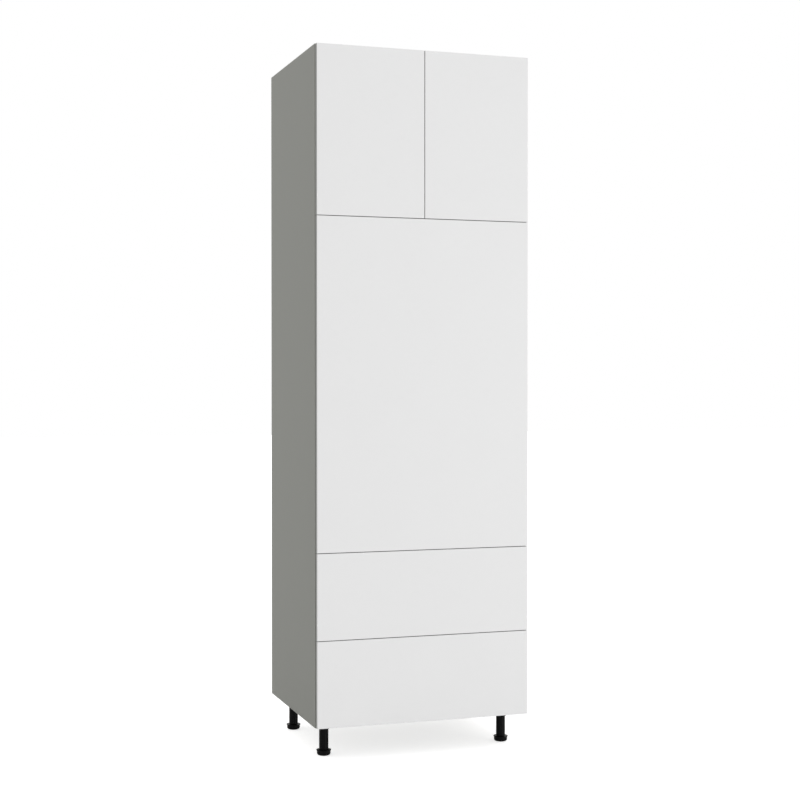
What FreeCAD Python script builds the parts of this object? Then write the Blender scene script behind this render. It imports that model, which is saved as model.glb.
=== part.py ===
import FreeCAD, Part
import math
import os

# Tall kitchen cabinet: a frameless housing on four levelling legs, with two doors on top,
# a large fixed slab in the middle and two drawers below.  Lengths are in millimetres.
# +X points to the cabinet's right, +Y to its back, +Z up.  The origin lies on the floor,
# at the centre of the cabinet's whole footprint.

# Cabinet box
width = 762.0
box_height = 2286.0
box_depth = 609.6
board = 18.0
leg_height = 114.3
overrun = 5.0

# Fronts
front_thickness = 19.0
front_gap = 2.0
front_joint = 2.0
side_reveal = 1.5
bottom_reveal = 1.0
top_reveal = 2.0
drawer_front_height = 291.5
door_height = 569.0
edge_round = 1.0

# Back panels and their grooves
back_thickness = 4.0
groove_inset = 20.0
groove_depth = 8.0
groove_clearance = 0.2

# Rear rails
rail_height = 100.0
rail_thickness = 16.0
wall_hole_radius = 3.0
wall_hole_spacing = 480.0

# Adjustable shelf, its pins, and the rows of bores that they fit
shelf_setback = 20.0
shelf_clearance = 1.0
shelf_height_share = 0.5
pin_setback = 37.0
pin_radius = 2.5
pin_depth = 10.0
pin_reach = 7.0
pin_collar_radius = 4.0
pin_collar = 1.5
pin_fit = 0.1
pin_pitch = 32.0
pin_bores_each_way = 3

# Knock-down joints
cam_radius = 7.5
cam_depth = 12.5
cam_centre = 34.0
cam_fit = 0.1
cam_slot = 3.4
bolt_radius = 3.0
bolt_thread_radius = 2.5
bolt_thread = 11.0
bolt_fit = 0.5
joint_setback = 60.0
dowel_radius = 4.0
dowel_length = 32.0
dowel_fit = 0.1
dowel_step = 32.0

# Concealed hinges: the swing axis is a single pin line inside the door's thickness
hinge_end_distance = 100.0
axis_from_edge = 6.0
axis_from_back = 12.0
cup_edge_distance = 5.0
cup_radius = 17.4
cup_fit = 0.1
cup_depth = 12.3
cup_wall = 0.8
flange_thickness = 1.0
flange_rim = 2.6
wing_span = 62.0
wing_width = 15.0
wing_offset = 9.5
wing_round = 5.0
link_width = 8.0
link_half = 1.8
link_pivot_along = 27.0
link_pivot_deep = 2.6
link_length = 21.5
link_angle = 171.9
link_crank = 3.1
link_crank_angle = -63.7
pivot_radius = 0.9
pivot_fit = 0.3
arm_width = 16.0
arm_wall = 1.2
arm_side_fit = 0.5
arm_eye = 1.9
arm_length = 56.0
arm_height = 11.0
arm_throat = 7.0
arm_nose_round = 1.3
plate_screw_setback = 37.0
plate_screw_pitch = 32.0
plate_thickness = 2.0
plate_width = 13.0
plate_height = 46.0
plate_ridge_width = 12.4
plate_ridge_length = 44.0
plate_start = 12.0
plate_round = 5.0

# Screws
screw_radius = 3.0
screw_length = 11.0
screw_head_radius = 4.5
screw_head = 1.3
screw_fit = 0.1

# Door bumpers
bumper_radius = 4.0
bumper_thickness = 1.7
bumper_corner = 9.0

# Brackets that hold the fixed slab
bracket_leg = 30.0
bracket_width = 40.0
bracket_wall = 2.0
bracket_round = 6.0
bracket_end_distance = 120.0
bracket_screw_share = 2 / 3

# Drawer boxes
drawer_side = 16.0
drawer_bottom = 8.0
drawer_box_height = 215.0
drawer_box_rise = 35.5
drawer_box_depth = 550.0
drawer_bottom_rise = 14.0
drawer_groove_depth = 7.0
drawer_end_drop = 20.0
drawer_screw_height_shares = (0.25, 0.75)
drawer_screw_reach_share = 2 / 3

# Ball-bearing runners
runner_length = 550.0
runner_setback = 3.0
runner_rise = 75.0
runner_thickness = 12.7
runner_wall = 1.2
runner_round = 1.6
cabinet_member_half = 22.85
cabinet_member_depth = 9.8
middle_member_half = 17.6
middle_member_start = 3.2
middle_member_end = 10.6
drawer_member_half = 12.4
drawer_member_start = 5.6
cage_length = 140.0
cage_fit = 0.3
cage_width = 4.4
cage_round = 1.5
runner_screw_end = 37.0

# Levelling legs
leg_side_inset = 55.5
leg_front_inset = 114.0
leg_rear_inset = 105.6
leg_plate = 64.0
leg_plate_thickness = 4.0
leg_plate_round = 8.0
socket_height = 20.0
socket_wall = 3.2
socket_fit = 0.3
socket_rib = 3.0
socket_rib_count = 4
tube_radius = 16.0
tube_wall = 2.5
tube_boss_height = 16.0
foot_height = 20.0
foot_radius = 23.5
foot_round = 8.0
foot_lip_radius = 25.5
foot_lip_slope = 1.2
foot_rim = 1.2
foot_flare = 4.0
stem_radius = 8.0
stem_height = 50.0
stem_fit = 0.3
foot_gap = 0.3

# Places worked out from the sizes above
half_width = width / 2
inner_half = half_width - board
total_depth = box_depth + front_gap + front_thickness
face_y = -total_depth / 2
front_back_y = face_y + front_thickness
box_y = front_back_y + front_gap
rear_y = total_depth / 2
base_z = leg_height
top_z = base_z + box_height
back_y = rear_y - groove_inset - back_thickness
groove_y = back_y - groove_clearance
lower_front_z = base_z + bottom_reveal
upper_front_z = lower_front_z + drawer_front_height + front_joint
slab_z = upper_front_z + drawer_front_height + front_joint
door_z = top_z - top_reveal - door_height
slab_height = door_z - front_joint - slab_z
deck_z = slab_z - (front_joint + board) / 2
cupboard_z = door_z - (front_joint + board) / 2
inner_top_z = top_z - board
shelf_z = cupboard_z + board + (inner_top_z - cupboard_z - 2 * board) * shelf_height_share
rail_top_z = inner_top_z - rail_height
rail_middle_z = cupboard_z - rail_height
door_width = width / 2 - side_reveal - front_joint / 2
hinge_zs = (door_z + hinge_end_distance, door_z + door_height - hinge_end_distance)
cup_centre_along = cup_edge_distance + cup_radius
full_turn = 360
origin = FreeCAD.Vector(0, 0, 0)
along_x = FreeCAD.Vector(1, 0, 0)
along_y = FreeCAD.Vector(0, 1, 0)
along_z = FreeCAD.Vector(0, 0, 1)


def block(low, high):
    """Box between two corners."""
    low = FreeCAD.Vector(*low)
    size = FreeCAD.Vector(*high) - low
    return Part.makeBox(size.x, size.y, size.z, low)


def rod(radius, start, end):
    """Round bar from one point to another."""
    start = FreeCAD.Vector(*start)
    run = FreeCAD.Vector(*end) - start
    return Part.makeCylinder(radius, run.Length, start, run)


def mirrored(shape):
    """The same piece on the cabinet's other side."""
    return shape.mirror(origin, along_x)


def both_sides(shapes):
    """The left-hand pieces and their mirror images."""
    return list(shapes) + [mirrored(shape) for shape in shapes]


def outline(corners, place):
    """Closed face through corners (a, b, radius); place turns a flat point into a real one."""
    spans = []
    count = len(corners)
    for index, (a, b, radius) in enumerate(corners):
        corner = FreeCAD.Vector(a, b, 0)
        before = FreeCAD.Vector(*corners[index - 1][:2], 0) - corner
        after = FreeCAD.Vector(*corners[(index + 1) % count][:2], 0) - corner
        before.normalize()
        after.normalize()
        half_turn = before.getAngle(after) / 2
        setback = radius / math.tan(half_turn)
        inward = (before + after).normalize()
        middle = corner + inward * (radius / math.sin(half_turn) - radius)
        spans.append((corner + before * setback, middle, corner + after * setback))
    edges = []
    for index, (start, middle, end) in enumerate(spans):
        if corners[index][2] > 0:
            edges.append(Part.Arc(place(start), place(middle), place(end)).toShape())
        ahead = spans[(index + 1) % count][0]
        if not end.isEqual(ahead, Part.Precision.confusion()):
            edges.append(Part.LineSegment(place(end), place(ahead)).toShape())
    return Part.Face(Part.Wire(edges))


def flat_xy(z):
    """Placing of a plan outline at a height."""
    return lambda point: FreeCAD.Vector(point.x, point.y, z)


def flat_yz(x):
    """Placing of a side outline at a place across."""
    return lambda point: FreeCAD.Vector(x, point.x, point.y)


def flat_xz(y):
    """Placing of a front outline at a depth."""
    return lambda point: FreeCAD.Vector(point.x, y, point.y)


def rectangle(a0, a1, b0, b1, radius):
    """Corners of a rectangle with equal corner radii."""
    return [(a0, b0, radius), (a1, b0, radius), (a1, b1, radius), (a0, b1, radius)]


def turned(profile, x, y):
    """Solid turned about an upright axis from corners (radius, height, corner radius)."""
    face = outline(profile, flat_xz(0))
    solid = face.revolve(origin, along_z, full_turn)
    solid.translate(FreeCAD.Vector(x, y, 0))
    return solid


def save(name, shapes):
    """Write one node: a single solid or a group of separate solids."""
    solids = [solid for shape in shapes for solid in shape.Solids]
    whole = solids[0] if len(solids) == 1 else Part.makeCompound(solids)
    whole.exportStep("parts/%s.step" % name)


def screw(head, way, length=screw_length):
    """Pan-head screw: head is the centre of the head's seat, way the direction it drives."""
    head = FreeCAD.Vector(*head)
    way = FreeCAD.Vector(*way)
    shank = Part.makeCylinder(screw_radius, length, head, way)
    cap = Part.makeCylinder(screw_head_radius, screw_head, head - way * screw_head, way)
    return shank.fuse(cap).removeSplitter()


def screw_hole(head, way, length=screw_length):
    """Clearance for a screw's shank, from its head's seat to its point."""
    way = FreeCAD.Vector(*way)
    start = FreeCAD.Vector(*head) - way * overrun
    return Part.makeCylinder(screw_radius + screw_fit, length + overrun + screw_fit, start, way)


# Knock-down joints: each fixed board has one at the front and one at the rear of each end
fixed_boards = {
    "bottom_panel": base_z,
    "oven_deck": deck_z,
    "cupboard_floor": cupboard_z,
    "top_panel": inner_top_z,
}
joint_ys = (box_y + joint_setback, back_y - joint_setback)


def cam_joint(z, y):
    """Cam, bolt and dowel at a board's left end, with the bores that they need."""
    middle = z + board / 2
    cam_x = -inner_half + cam_centre
    bore = rod(cam_radius + cam_fit, (cam_x, y, z - overrun), (cam_x, y, z + cam_depth))
    cam = rod(cam_radius, (cam_x, y, z + cam_fit), (cam_x, y, z + cam_depth - cam_fit))
    slot = block(
        (cam_x - cam_radius - overrun, y - cam_slot, middle - cam_slot),
        (cam_x, y + cam_slot, z + cam_depth),
    )
    start = -inner_half - bolt_thread
    bolt = rod(bolt_radius, (-inner_half, y, middle), (cam_x - cam_fit, y, middle))
    thread = rod(bolt_thread_radius, (start, y, middle), (-inner_half, y, middle))
    way = rod(bolt_radius + bolt_fit, (-inner_half - overrun, y, middle), (cam_x, y, middle))
    pilot = rod(
        bolt_thread_radius + cam_fit, (start - cam_fit, y, middle), (cam_x, y, middle)
    )
    dowel_y = y + dowel_step
    half = dowel_length / 2
    dowel = rod(
        dowel_radius, (-inner_half - half + dowel_fit, dowel_y, middle),
        (-inner_half + half - dowel_fit, dowel_y, middle),
    )
    dowel_bore = rod(
        dowel_radius + dowel_fit, (-inner_half - half, dowel_y, middle),
        (-inner_half + half, dowel_y, middle),
    )
    return {
        "cam": cam.cut(slot),
        "bolt": bolt.fuse(thread).removeSplitter(),
        "dowel": dowel,
        "board_cuts": [bore, way, dowel_bore],
        "side_cuts": [pilot, dowel_bore],
    }


joints = {
    name: [cam_joint(z, y) for y in joint_ys] for name, z in fixed_boards.items()
}


def make_fixed_boards():
    """The four boards between the sides, bored at both ends for their joints."""
    for name, z in fixed_boards.items():
        plain = block((-inner_half, box_y, z), (inner_half, groove_y, z + board))
        cuts = both_sides([cut for joint in joints[name] for cut in joint["board_cuts"]])
        save(name, [plain.cut(cuts)])


def make_joint_hardware():
    """All cams, bolts and dowels."""
    every = [joint for pair in joints.values() for joint in pair]
    save("cam_locks", both_sides([joint["cam"] for joint in every]))
    save("cam_bolts", both_sides([joint["bolt"] for joint in every]))
    save("dowels", both_sides([joint["dowel"] for joint in every]))


# Adjustable shelf
shelf_rear_y = groove_y - shelf_clearance
shelf_pin_ys = (box_y + pin_setback, groove_y - pin_setback)


def shelf_pin_bores(y):
    """Row of bores in the left side, with the pin's own bore in its middle."""
    deep = -inner_half - pin_depth - pin_fit
    steps = range(-pin_bores_each_way, pin_bores_each_way + 1)
    heights = [shelf_z - pin_radius + step * pin_pitch for step in steps]
    return [rod(pin_radius + pin_fit, (deep, y, z), (-inner_half, y, z)) for z in heights]


def shelf_pin(y):
    """One shelf pin under the shelf's left end."""
    z = shelf_z - pin_radius
    peg = rod(pin_radius, (-inner_half - pin_depth, y, z), (-inner_half + pin_reach, y, z))
    collar = rod(
        pin_collar_radius, (-inner_half, y, z), (-inner_half + pin_collar, y, z)
    )
    trim = block(
        (-inner_half - overrun, y - pin_setback, shelf_z),
        (-inner_half + pin_reach, y + pin_setback, shelf_z + pin_setback),
    )
    return peg.fuse(collar).cut(trim).removeSplitter()


def make_shelf():
    """The loose shelf and its four pins."""
    reach = inner_half - shelf_clearance
    shelf = block(
        (-reach, box_y + shelf_setback, shelf_z), (reach, shelf_rear_y, shelf_z + board)
    )
    save("adjustable_shelf", [shelf])
    save("shelf_pins", both_sides([shelf_pin(y) for y in shelf_pin_ys]))


# Back panels and rear rails
back_half = inner_half + groove_depth - groove_clearance


def make_backs():
    """Hardboard backs behind the cupboard and the drawers; the bay between is open."""
    reach = wall_hole_spacing / 2
    middle_z = rail_top_z + rail_height / 2
    holes = [
        rod(wall_hole_radius, (x, back_y - rail_thickness - overrun, middle_z),
            (x, rear_y, middle_z))
        for x in (-reach, reach)
    ]
    upper = block(
        (-back_half, back_y, cupboard_z), (back_half, back_y + back_thickness, top_z)
    )
    lower = block(
        (-back_half, back_y, base_z), (back_half, back_y + back_thickness, deck_z + board)
    )
    save("back_panel_upper", [upper.cut(holes)])
    save("back_panel_lower", [lower])
    rail_y = groove_y - rail_thickness
    top_rail = block(
        (-inner_half, rail_y + groove_clearance, rail_top_z),
        (inner_half, back_y, inner_top_z),
    )
    save("rear_rail_top", [top_rail.cut(holes)])
    middle_rail = block(
        (-inner_half, rail_y, rail_middle_z), (inner_half, groove_y, cupboard_z)
    )
    save("rear_rail_middle", [middle_rail])


# Concealed hinges.  Points (along, deep) are measured from the swing axis at the closed
# door: along runs from the door's hinge edge to its middle, deep runs to the back.
axis_x = -half_width + side_reveal + axis_from_edge
axis_y = front_back_y - axis_from_back
cup_x = -half_width + side_reveal + cup_centre_along
pivot_x = axis_x + link_pivot_along
pivot_y = axis_y + link_pivot_deep
plate_zs = [z + shift for z in hinge_zs for shift in (-plate_screw_pitch / 2, plate_screw_pitch / 2)]


def hinge_cup(z):
    """Stamped cup with its flange and its two screw wings."""
    flange_y = front_back_y
    body = rod(cup_radius, (cup_x, flange_y - cup_depth, z), (cup_x, flange_y, z))
    rim = rod(
        cup_radius + flange_rim, (cup_x, flange_y, z),
        (cup_x, flange_y + flange_thickness, z),
    )
    wing_x = cup_x + wing_offset
    wings = outline(
        rectangle(wing_x - wing_width / 2, wing_x + wing_width / 2,
                  z - wing_span / 2, z + wing_span / 2, wing_round),
        flat_xz(flange_y),
    ).extrude(along_y * flange_thickness)
    hollow = rod(
        cup_radius - cup_wall, (cup_x, flange_y - cup_depth + cup_wall, z),
        (cup_x, flange_y + flange_thickness + overrun, z),
    )
    return body.fuse([rim, wings]).cut(hollow).removeSplitter()


def hinge_arm(z):
    """Pressed channel arm: it runs from the plate over the door's cup and dips into it."""
    low_x = pivot_x - arm_height + arm_eye
    high_x = pivot_x + arm_eye
    end_y = box_y + arm_length
    tip_y = pivot_y - arm_eye
    cheek = [
        (high_x, end_y, arm_eye),
        (low_x, end_y, arm_eye),
        (low_x, box_y + arm_throat, arm_throat),
        (pivot_x - arm_eye, box_y - arm_eye, arm_throat),
        (pivot_x - arm_eye, tip_y, arm_nose_round),
        (high_x, tip_y, arm_nose_round),
    ]
    half = arm_width / 2
    whole = outline(cheek, flat_xy(z - half)).extrude(along_z * arm_width)
    inside = block(
        (low_x - overrun, tip_y - overrun, z - half + arm_wall),
        (high_x - arm_wall, end_y + overrun, z + half - arm_wall),
    )
    nose = block(
        (low_x, tip_y - overrun, z - half + arm_wall),
        (high_x + overrun, box_y - front_gap, z + half - arm_wall),
    )
    pin = rod(pivot_radius, (pivot_x, pivot_y, z - half), (pivot_x, pivot_y, z + half))
    return whole.cut([inside, nose]).fuse(pin).removeSplitter()


def hinge_link(z):
    """Cranked link: one eye on the arm's pin, the other end inside the cup."""
    angle = math.radians(link_angle)
    end_x = pivot_x + link_length * math.cos(angle)
    end_y = pivot_y + link_length * math.sin(angle)
    bend = angle + math.pi + math.radians(link_crank_angle)
    bend_x = end_x + link_crank * math.cos(bend)
    bend_y = end_y + link_crank * math.sin(bend)
    half = link_width / 2
    low = flat_xy(z - half)
    rise = along_z * link_width
    pieces = []
    for (x0, y0), (x1, y1) in (
        ((end_x, end_y), (bend_x, bend_y)), ((bend_x, bend_y), (pivot_x, pivot_y))
    ):
        run = math.hypot(x1 - x0, y1 - y0)
        side_x = (y1 - y0) / run * link_half
        side_y = (x0 - x1) / run * link_half
        strip = [
            (x0 - side_x, y0 - side_y, 0), (x1 - side_x, y1 - side_y, 0),
            (x1 + side_x, y1 + side_y, 0), (x0 + side_x, y0 + side_y, 0),
        ]
        pieces.append(outline(strip, low).extrude(rise))
        pieces.append(rod(link_half, (x0, y0, z - half), (x0, y0, z + half)))
    eye = rod(link_half, (pivot_x, pivot_y, z - half), (pivot_x, pivot_y, z + half))
    hole = rod(
        pivot_radius + pivot_fit, (pivot_x, pivot_y, z - link_width),
        (pivot_x, pivot_y, z + link_width),
    )
    return eye.fuse(pieces).cut(hole).removeSplitter()


def hinge_plate(z):
    """Mounting plate on the side panel: a tall foot with a ridge that the arm clips over."""
    start_y = box_y + plate_start
    middle_y = box_y + plate_screw_setback
    foot = outline(
        rectangle(middle_y - plate_width / 2, middle_y + plate_width / 2,
                  z - plate_height / 2, z + plate_height / 2, plate_round),
        flat_yz(-inner_half),
    ).extrude(along_x * plate_thickness)
    ridge = block(
        (-inner_half, start_y, z - plate_ridge_width / 2),
        (pivot_x + arm_eye - arm_wall - arm_side_fit, start_y + plate_ridge_length,
         z + plate_ridge_width / 2),
    )
    return foot.fuse(ridge).removeSplitter()


def plate_screw_seat(z):
    """Centre of the seat of a plate's screw."""
    return (-inner_half + plate_thickness, box_y + plate_screw_setback, z)


def cup_screw_seats(z):
    """Centres of the seats of a cup's two screws."""
    reach = (wing_span - wing_width) / 2
    seat_y = front_back_y + flange_thickness
    return [(cup_x + wing_offset, seat_y, z + shift) for shift in (-reach, reach)]


def make_hinges():
    """Plates and arms on the carcass, cups on the doors, and the links between them."""
    plates = []
    for z in hinge_zs:
        seats = [plate_screw_seat(z + shift)
                 for shift in (-plate_screw_pitch / 2, plate_screw_pitch / 2)]
        plates.append(hinge_plate(z).cut([screw_hole(seat, -along_x) for seat in seats]))
    save("hinge_plates", both_sides(plates))
    save("hinge_arms", both_sides([hinge_arm(z) for z in hinge_zs]))
    cups = []
    for z in hinge_zs:
        cups.append(hinge_cup(z).cut([screw_hole(seat, -along_y) for seat in cup_screw_seats(z)]))
    links = [hinge_link(z) for z in hinge_zs]
    screws = [screw(seat, -along_y) for z in hinge_zs for seat in cup_screw_seats(z)]
    for side, finish in (("left", list), ("right", lambda shapes: [mirrored(s) for s in shapes])):
        save("hinge_cups_%s" % side, finish(cups))
        save("hinge_cup_screws_%s" % side, finish(screws))
        save("hinge_links_%s" % side, finish(links))


# Fronts
def slab(x0, x1, z, height):
    """Plain front whose face has lightly rounded edges."""
    plain = block((x0, face_y, z), (x1, front_back_y, z + height))
    rim = [edge for edge in plain.Edges
           if all(abs(vertex.Y - face_y) < edge_round for vertex in edge.Vertexes)]
    return plain.makeFillet(edge_round, rim)


def make_doors():
    """The two doors, bored for their hinge cups, and their bumpers."""
    left = -half_width + side_reveal
    door = slab(left, left + door_width, door_z, door_height)
    cuts = [
        rod(cup_radius + cup_fit, (cup_x, front_back_y - cup_depth - cup_fit, z),
            (cup_x, front_back_y + overrun, z))
        for z in hinge_zs
    ]
    cuts += [screw_hole(seat, -along_y) for z in hinge_zs for seat in cup_screw_seats(z)]
    door = door.cut(cuts)
    bumpers = [
        rod(bumper_radius, (left + bumper_corner, front_back_y, z),
            (left + bumper_corner, front_back_y + bumper_thickness, z))
        for z in (door_z + bumper_corner, door_z + door_height - bumper_corner)
    ]
    save("door_left", [door])
    save("door_right", [mirrored(door)])
    save("door_bumpers_left", bumpers)
    save("door_bumpers_right", [mirrored(bumper) for bumper in bumpers])


# The fixed slab and the brackets behind it
slab_reach = half_width - side_reveal
slab_middle = slab_z + slab_height / 2
bracket_zs = (
    slab_z + bracket_end_distance, slab_middle, slab_z + slab_height - bracket_end_distance
)


def bracket_seats(z):
    """Seats of a bracket's screws, each with the way that it drives."""
    far = bracket_leg * bracket_screw_share
    return [
        ((-inner_half + bracket_wall, front_back_y + far, z), -along_x),
        ((-inner_half + far, front_back_y + bracket_wall, z), -along_y),
    ]


def bracket(z):
    """Steel angle: one leg on the side panel, the other on the slab's back."""
    low_z = z - bracket_width / 2
    corner = [
        (-inner_half, front_back_y, 0),
        (-inner_half + bracket_leg, front_back_y, 0),
        (-inner_half + bracket_leg, front_back_y + bracket_wall, 0),
        (-inner_half + bracket_wall, front_back_y + bracket_wall, bracket_wall),
        (-inner_half + bracket_wall, front_back_y + bracket_leg, 0),
        (-inner_half, front_back_y + bracket_leg, 0),
    ]
    angle = outline(corner, flat_xy(low_z)).extrude(along_z * bracket_width)
    return angle.cut([screw_hole(seat, way) for seat, way in bracket_seats(z)])


def make_fixed_slab():
    """The slab over the tall bay, and the angles that hold it."""
    front = slab(-slab_reach, slab_reach, slab_z, slab_height)
    cuts = [screw_hole(*bracket_seats(z)[1]) for z in bracket_zs]
    save("front_panel", [front.cut(both_sides(cuts))])
    save("panel_brackets", both_sides([bracket(z) for z in bracket_zs]))


# Ball-bearing runners.  Places across are measured from the side panel's inner face.
drawer_zs = {"lower": lower_front_z, "upper": upper_front_z}
runner_y = box_y + runner_setback
runner_screw_ys = (runner_y + runner_screw_end, runner_y + runner_length - runner_screw_end)


def channel(web, tip, half, z, y0, y1):
    """Rolled C section along the runner: web and tip are its faces across."""
    way = 1 if tip > web else -1
    wall = runner_wall * way
    corners = [
        (web, -half, runner_round), (tip, -half, 0), (tip, -half + runner_wall, 0),
        (web + wall, -half + runner_wall, 0), (web + wall, half - runner_wall, 0),
        (tip, half - runner_wall, 0), (tip, half, 0), (web, half, runner_round),
    ]
    placed = [(-inner_half + a, z + b, radius) for a, b, radius in corners]
    return outline(placed, flat_xz(y0)).extrude(along_y * (y1 - y0))


def cage_strips(half_outer, half_inner, across, z, y):
    """Upper and lower ball cages between two members whose tracks lie at these half heights."""
    strips = []
    for sign in (-1, 1):
        low, high = sorted((sign * (half_inner + cage_fit), sign * (half_outer - cage_fit)))
        corners = rectangle(
            -inner_half + across - cage_width / 2, -inner_half + across + cage_width / 2,
            z + low, z + high, cage_round,
        )
        strips.append(outline(corners, flat_xz(y)).extrude(along_y * cage_length))
    return strips


def runner_screw_seats(z):
    """Seats of the screws that hold a cabinet member."""
    return [(-inner_half + runner_wall, y, z) for y in runner_screw_ys]


def member_screw_seats(z):
    """Seats of the screws that hold a drawer member to its drawer's side."""
    return [(-inner_half + runner_thickness - runner_wall, y, z) for y in runner_screw_ys]


def make_runners():
    """Cabinet, middle and drawer members of four runners, with their ball cages."""
    end_y = runner_y + runner_length
    cabinet_members = []
    for level, front_z in drawer_zs.items():
        z = front_z + drawer_box_rise + runner_rise
        outer = channel(0, cabinet_member_depth, cabinet_member_half, z, runner_y, end_y)
        cabinet_members.append(
            outer.cut([screw_hole(seat, -along_x) for seat in runner_screw_seats(z)])
        )
        middle = channel(middle_member_start, middle_member_end, middle_member_half, z,
                         runner_y, end_y)
        inner = channel(runner_thickness, drawer_member_start, drawer_member_half, z,
                        runner_y, end_y)
        inner = inner.cut([screw_hole(seat, along_x) for seat in member_screw_seats(z)])
        cage_y = runner_y + (runner_length - cage_length) / 2
        outer_across = (middle_member_start + cabinet_member_depth) / 2
        inner_across = (drawer_member_start + middle_member_end) / 2
        outer_cages = cage_strips(cabinet_member_half - runner_wall, middle_member_half,
                                  outer_across, z, cage_y)
        inner_cages = cage_strips(middle_member_half - runner_wall, drawer_member_half,
                                  inner_across, z, cage_y)
        save("runner_middle_members_%s" % level, both_sides([middle]))
        save("runner_drawer_members_%s" % level, both_sides([inner]))
        save("runner_outer_cages_%s" % level, both_sides(outer_cages))
        save("runner_inner_cages_%s" % level, both_sides(inner_cages))
    save("runner_cabinet_members", both_sides(cabinet_members))


def make_carcass_screws():
    """Screws that hold the hinge plates, the brackets and the runners."""
    screws = [screw(plate_screw_seat(z), -along_x) for z in plate_zs]
    screws += [screw(seat, way) for z in bracket_zs for seat, way in bracket_seats(z)]
    for front_z in drawer_zs.values():
        z = front_z + drawer_box_rise + runner_rise
        screws += [screw(seat, -along_x) for seat in runner_screw_seats(z)]
    save("carcass_screws", both_sides(screws))


def make_side_panels():
    """Side panels: a groove for the backs, and bores for all that is fixed to them."""
    plain = block((-half_width, box_y, base_z), (-inner_half, rear_y, top_z))
    groove = block(
        (-inner_half - groove_depth, groove_y, base_z - overrun),
        (-inner_half + overrun, back_y + back_thickness + groove_clearance, top_z + overrun),
    )
    cuts = [groove]
    cuts += [cut for pair in joints.values() for joint in pair for cut in joint["side_cuts"]]
    cuts += [bore for y in shelf_pin_ys for bore in shelf_pin_bores(y)]
    cuts += [screw_hole(plate_screw_seat(z), -along_x) for z in plate_zs]
    cuts += [screw_hole(*bracket_seats(z)[0]) for z in bracket_zs]
    for front_z in drawer_zs.values():
        z = front_z + drawer_box_rise + runner_rise
        cuts += [screw_hole(seat, -along_x) for seat in runner_screw_seats(z)]
    side = plain.cut(cuts)
    save("side_panel_left", [side])
    save("side_panel_right", [mirrored(side)])


# Drawers
drawer_half = inner_half - runner_thickness
drawer_inner = drawer_half - drawer_side
drawer_rear_y = front_back_y + drawer_box_depth


def front_screw_seats(z):
    """Seats of the screws that hold a drawer's front to its box."""
    seat_y = front_back_y + drawer_side
    reach = drawer_inner * drawer_screw_reach_share
    return [(-reach, seat_y, z + drawer_box_height * share)
            for share in drawer_screw_height_shares]


def make_drawer(level, front_z):
    """One drawer: its slab front and a box of four boards round a bottom in grooves."""
    z = front_z + drawer_box_rise
    top = z + drawer_box_height
    bottom_z = z + drawer_bottom_rise
    groove = block(
        (-drawer_inner - drawer_groove_depth,
         front_back_y + drawer_side - drawer_groove_depth, bottom_z - groove_clearance),
        (drawer_inner + drawer_groove_depth,
         drawer_rear_y - drawer_side + drawer_groove_depth,
         bottom_z + drawer_bottom + groove_clearance),
    )
    seats = front_screw_seats(z)
    length = drawer_side + screw_length
    holes = both_sides([screw_hole(seat, -along_y, length) for seat in seats])
    front = slab(-slab_reach, slab_reach, front_z, drawer_front_height)
    save("drawer_front_%s" % level, [front.cut(holes)])
    member_seats = member_screw_seats(z + runner_rise)
    side = block((-drawer_half, front_back_y, z), (-drawer_inner, drawer_rear_y, top))
    side = side.cut([groove] + [screw_hole(seat, along_x) for seat in member_seats])
    save("drawer_side_left_%s" % level, [side])
    save("drawer_side_right_%s" % level, [mirrored(side)])
    subfront = block(
        (-drawer_inner, front_back_y, z),
        (drawer_inner, front_back_y + drawer_side, top - drawer_end_drop),
    )
    save("drawer_subfront_%s" % level, [subfront.cut(holes + [groove])])
    back = block(
        (-drawer_inner, drawer_rear_y - drawer_side, z),
        (drawer_inner, drawer_rear_y, top - drawer_end_drop),
    )
    save("drawer_back_%s" % level, [back.cut(groove)])
    reach = drawer_groove_depth - groove_clearance
    bottom = block(
        (-drawer_inner - reach, front_back_y + drawer_side - reach, bottom_z),
        (drawer_inner + reach, drawer_rear_y - drawer_side + reach, bottom_z + drawer_bottom),
    )
    save("drawer_bottom_%s" % level, [bottom])
    screws = [screw(seat, -along_y, length) for seat in seats]
    screws += [screw(seat, along_x) for seat in member_seats]
    save("drawer_screws_%s" % level, both_sides(screws))


# Levelling legs
leg_x = half_width - leg_side_inset
leg_ys = {"front": face_y + leg_front_inset, "rear": rear_y - leg_rear_inset}
plate_z = base_z - leg_plate_thickness


def leg_socket(y):
    """Plate under the cabinet with a ribbed socket for the leg's tube."""
    half = leg_plate / 2
    foot = outline(
        rectangle(-leg_x - half, -leg_x + half, y - half, y + half, leg_plate_round),
        flat_xy(plate_z),
    ).extrude(along_z * leg_plate_thickness)
    inner = tube_radius + socket_fit
    outer = inner + socket_wall
    ring = rod(outer, (-leg_x, y, plate_z - socket_height), (-leg_x, y, plate_z))
    rib_face = Part.Face(Part.makePolygon([
        FreeCAD.Vector(outer - socket_wall / 2, 0, plate_z),
        FreeCAD.Vector(half - socket_rib, 0, plate_z),
        FreeCAD.Vector(outer - socket_wall / 2, 0, plate_z - socket_height + socket_rib),
        FreeCAD.Vector(outer - socket_wall / 2, 0, plate_z),
    ]))
    rib_face.translate(along_y * (-socket_rib / 2))
    ribs = []
    for turn in range(socket_rib_count):
        rib = rib_face.extrude(along_y * socket_rib)
        rib.rotate(origin, along_z, turn * full_turn / socket_rib_count)
        rib.translate(FreeCAD.Vector(-leg_x, y, 0))
        ribs.append(rib)
    bore = rod(inner, (-leg_x, y, plate_z - socket_height - overrun), (-leg_x, y, plate_z))
    return foot.fuse([ring] + ribs).cut(bore).removeSplitter()


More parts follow.
